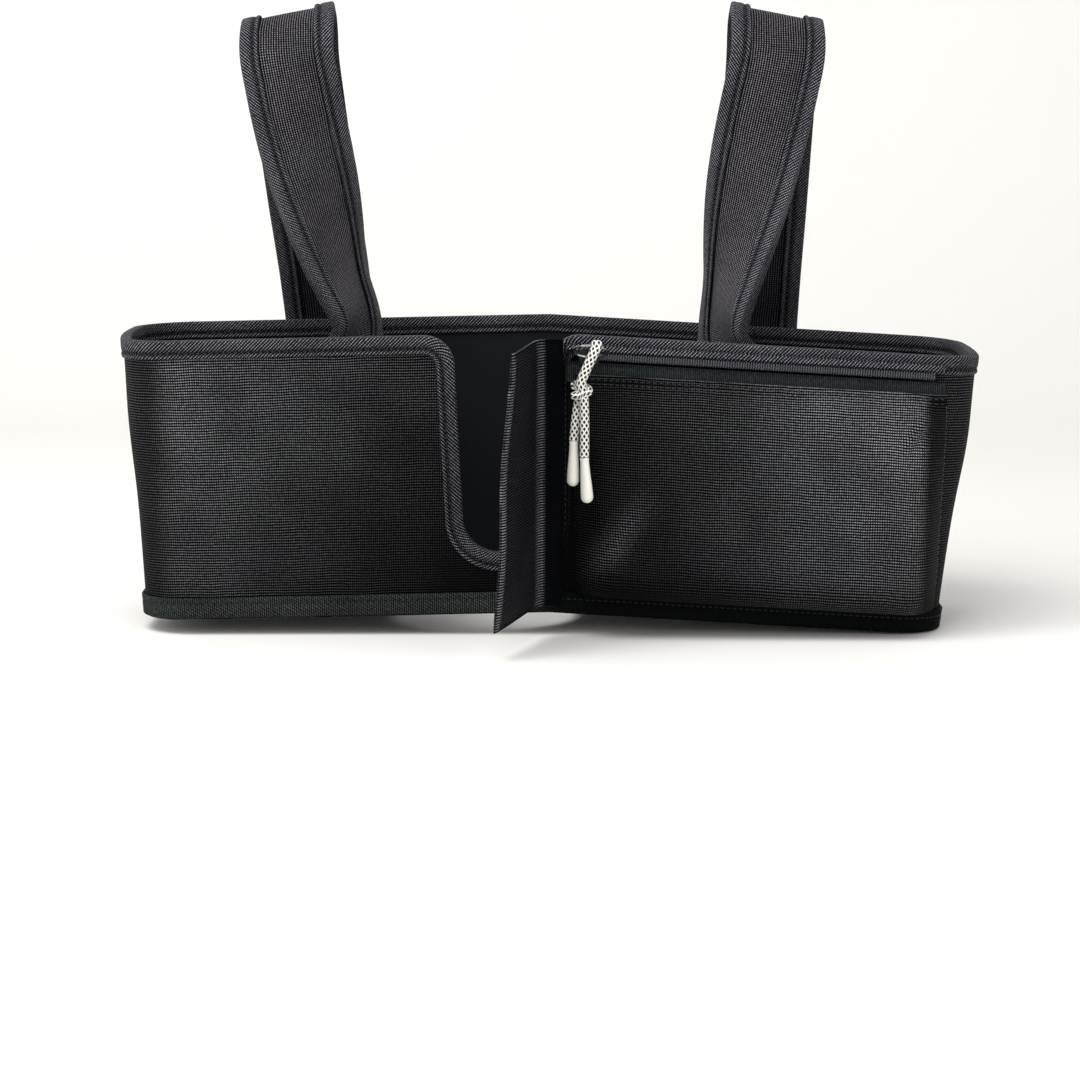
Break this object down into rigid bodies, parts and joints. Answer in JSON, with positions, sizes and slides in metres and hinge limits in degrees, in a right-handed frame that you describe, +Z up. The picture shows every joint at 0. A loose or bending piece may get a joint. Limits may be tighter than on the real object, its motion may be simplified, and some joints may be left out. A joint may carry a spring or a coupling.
{
  "type": "stroller organizer",
  "caption": "Soft hanging tray with two strap loops for a handlebar, divided compartments, a cup hole and handle notch, a side flap and a zipped front pocket with a corded pull.",
  "frame": {"origin": "middle of the box at its foot, cords left out", "axes": "+X along the tray to the viewer's right, +Y from the front to the back wall, +Z up"},
  "size_m": [0.4176, 0.1976, 0.3072],
  "materials": {
    "ribbed_fabric": "ribbed coated weave",
    "lining": "smooth coated lining",
    "binding_tape": "twill tape",
    "bottom_tape": "grosgrain tape",
    "strap_web": "ribbed coated weave",
    "hook_and_loop": "napped",
    "coil": "nylon coil",
    "nickel": "plated",
    "black_nickel": "black plated",
    "braided_cord": "diamond braid",
    "moulded_tip": "smooth moulded"
  },
  "bodies": {
    "tray": {"front_band": "ribbed_fabric", "back_wall": "ribbed_fabric", "cup_flap": "ribbed_fabric", "pocket_front": "ribbed_fabric", "base_panel": "lining", "divider_left": "lining", "divider_middle": "lining", "divider_right": "lining", "rim_binding": "binding_tape", "cup_hole_binding": "binding_tape", "zipper_tape_upper": "binding_tape", "zipper_tape_lower": "binding_tape", "strap_left_binding_inner": "binding_tape", "strap_left_binding_outer": "binding_tape", "strap_right_binding_inner": "binding_tape", "strap_right_binding_outer": "binding_tape", "bottom_binding": "bottom_tape", "strap_left": "strap_web", "strap_right": "strap_web", "patch_left_inner": "hook_and_loop", "patch_left_outer": "hook_and_loop", "patch_right_inner": "hook_and_loop", "patch_right_outer": "hook_and_loop", "zipper_coil_upper": "coil", "zipper_coil_lower": "coil"},
    "slider": {"slider": "black_nickel"},
    "pull": {"pull_ring": "nickel", "pull_cord_loop": "braided_cord", "pull_cord_left": "braided_cord", "pull_cord_right": "braided_cord", "pull_knot": "braided_cord", "pull_tip_left": "moulded_tip", "pull_tip_right": "moulded_tip"}
  },
  "joints": [
    {"name": "zip_slide", "type": "slide", "parent": "tray", "child": "slider", "axis": [0.9983, 0, -0.0589], "range_m": [0, 0.158]},
    {"name": "pull_swing", "type": "hinge", "parent": "slider", "child": "pull", "pos_m": [0.01864, -0.04122, 0.13738], "axis": [-0.9983, 0, 0.0589], "range_deg": [0, 70]}
  ]
}
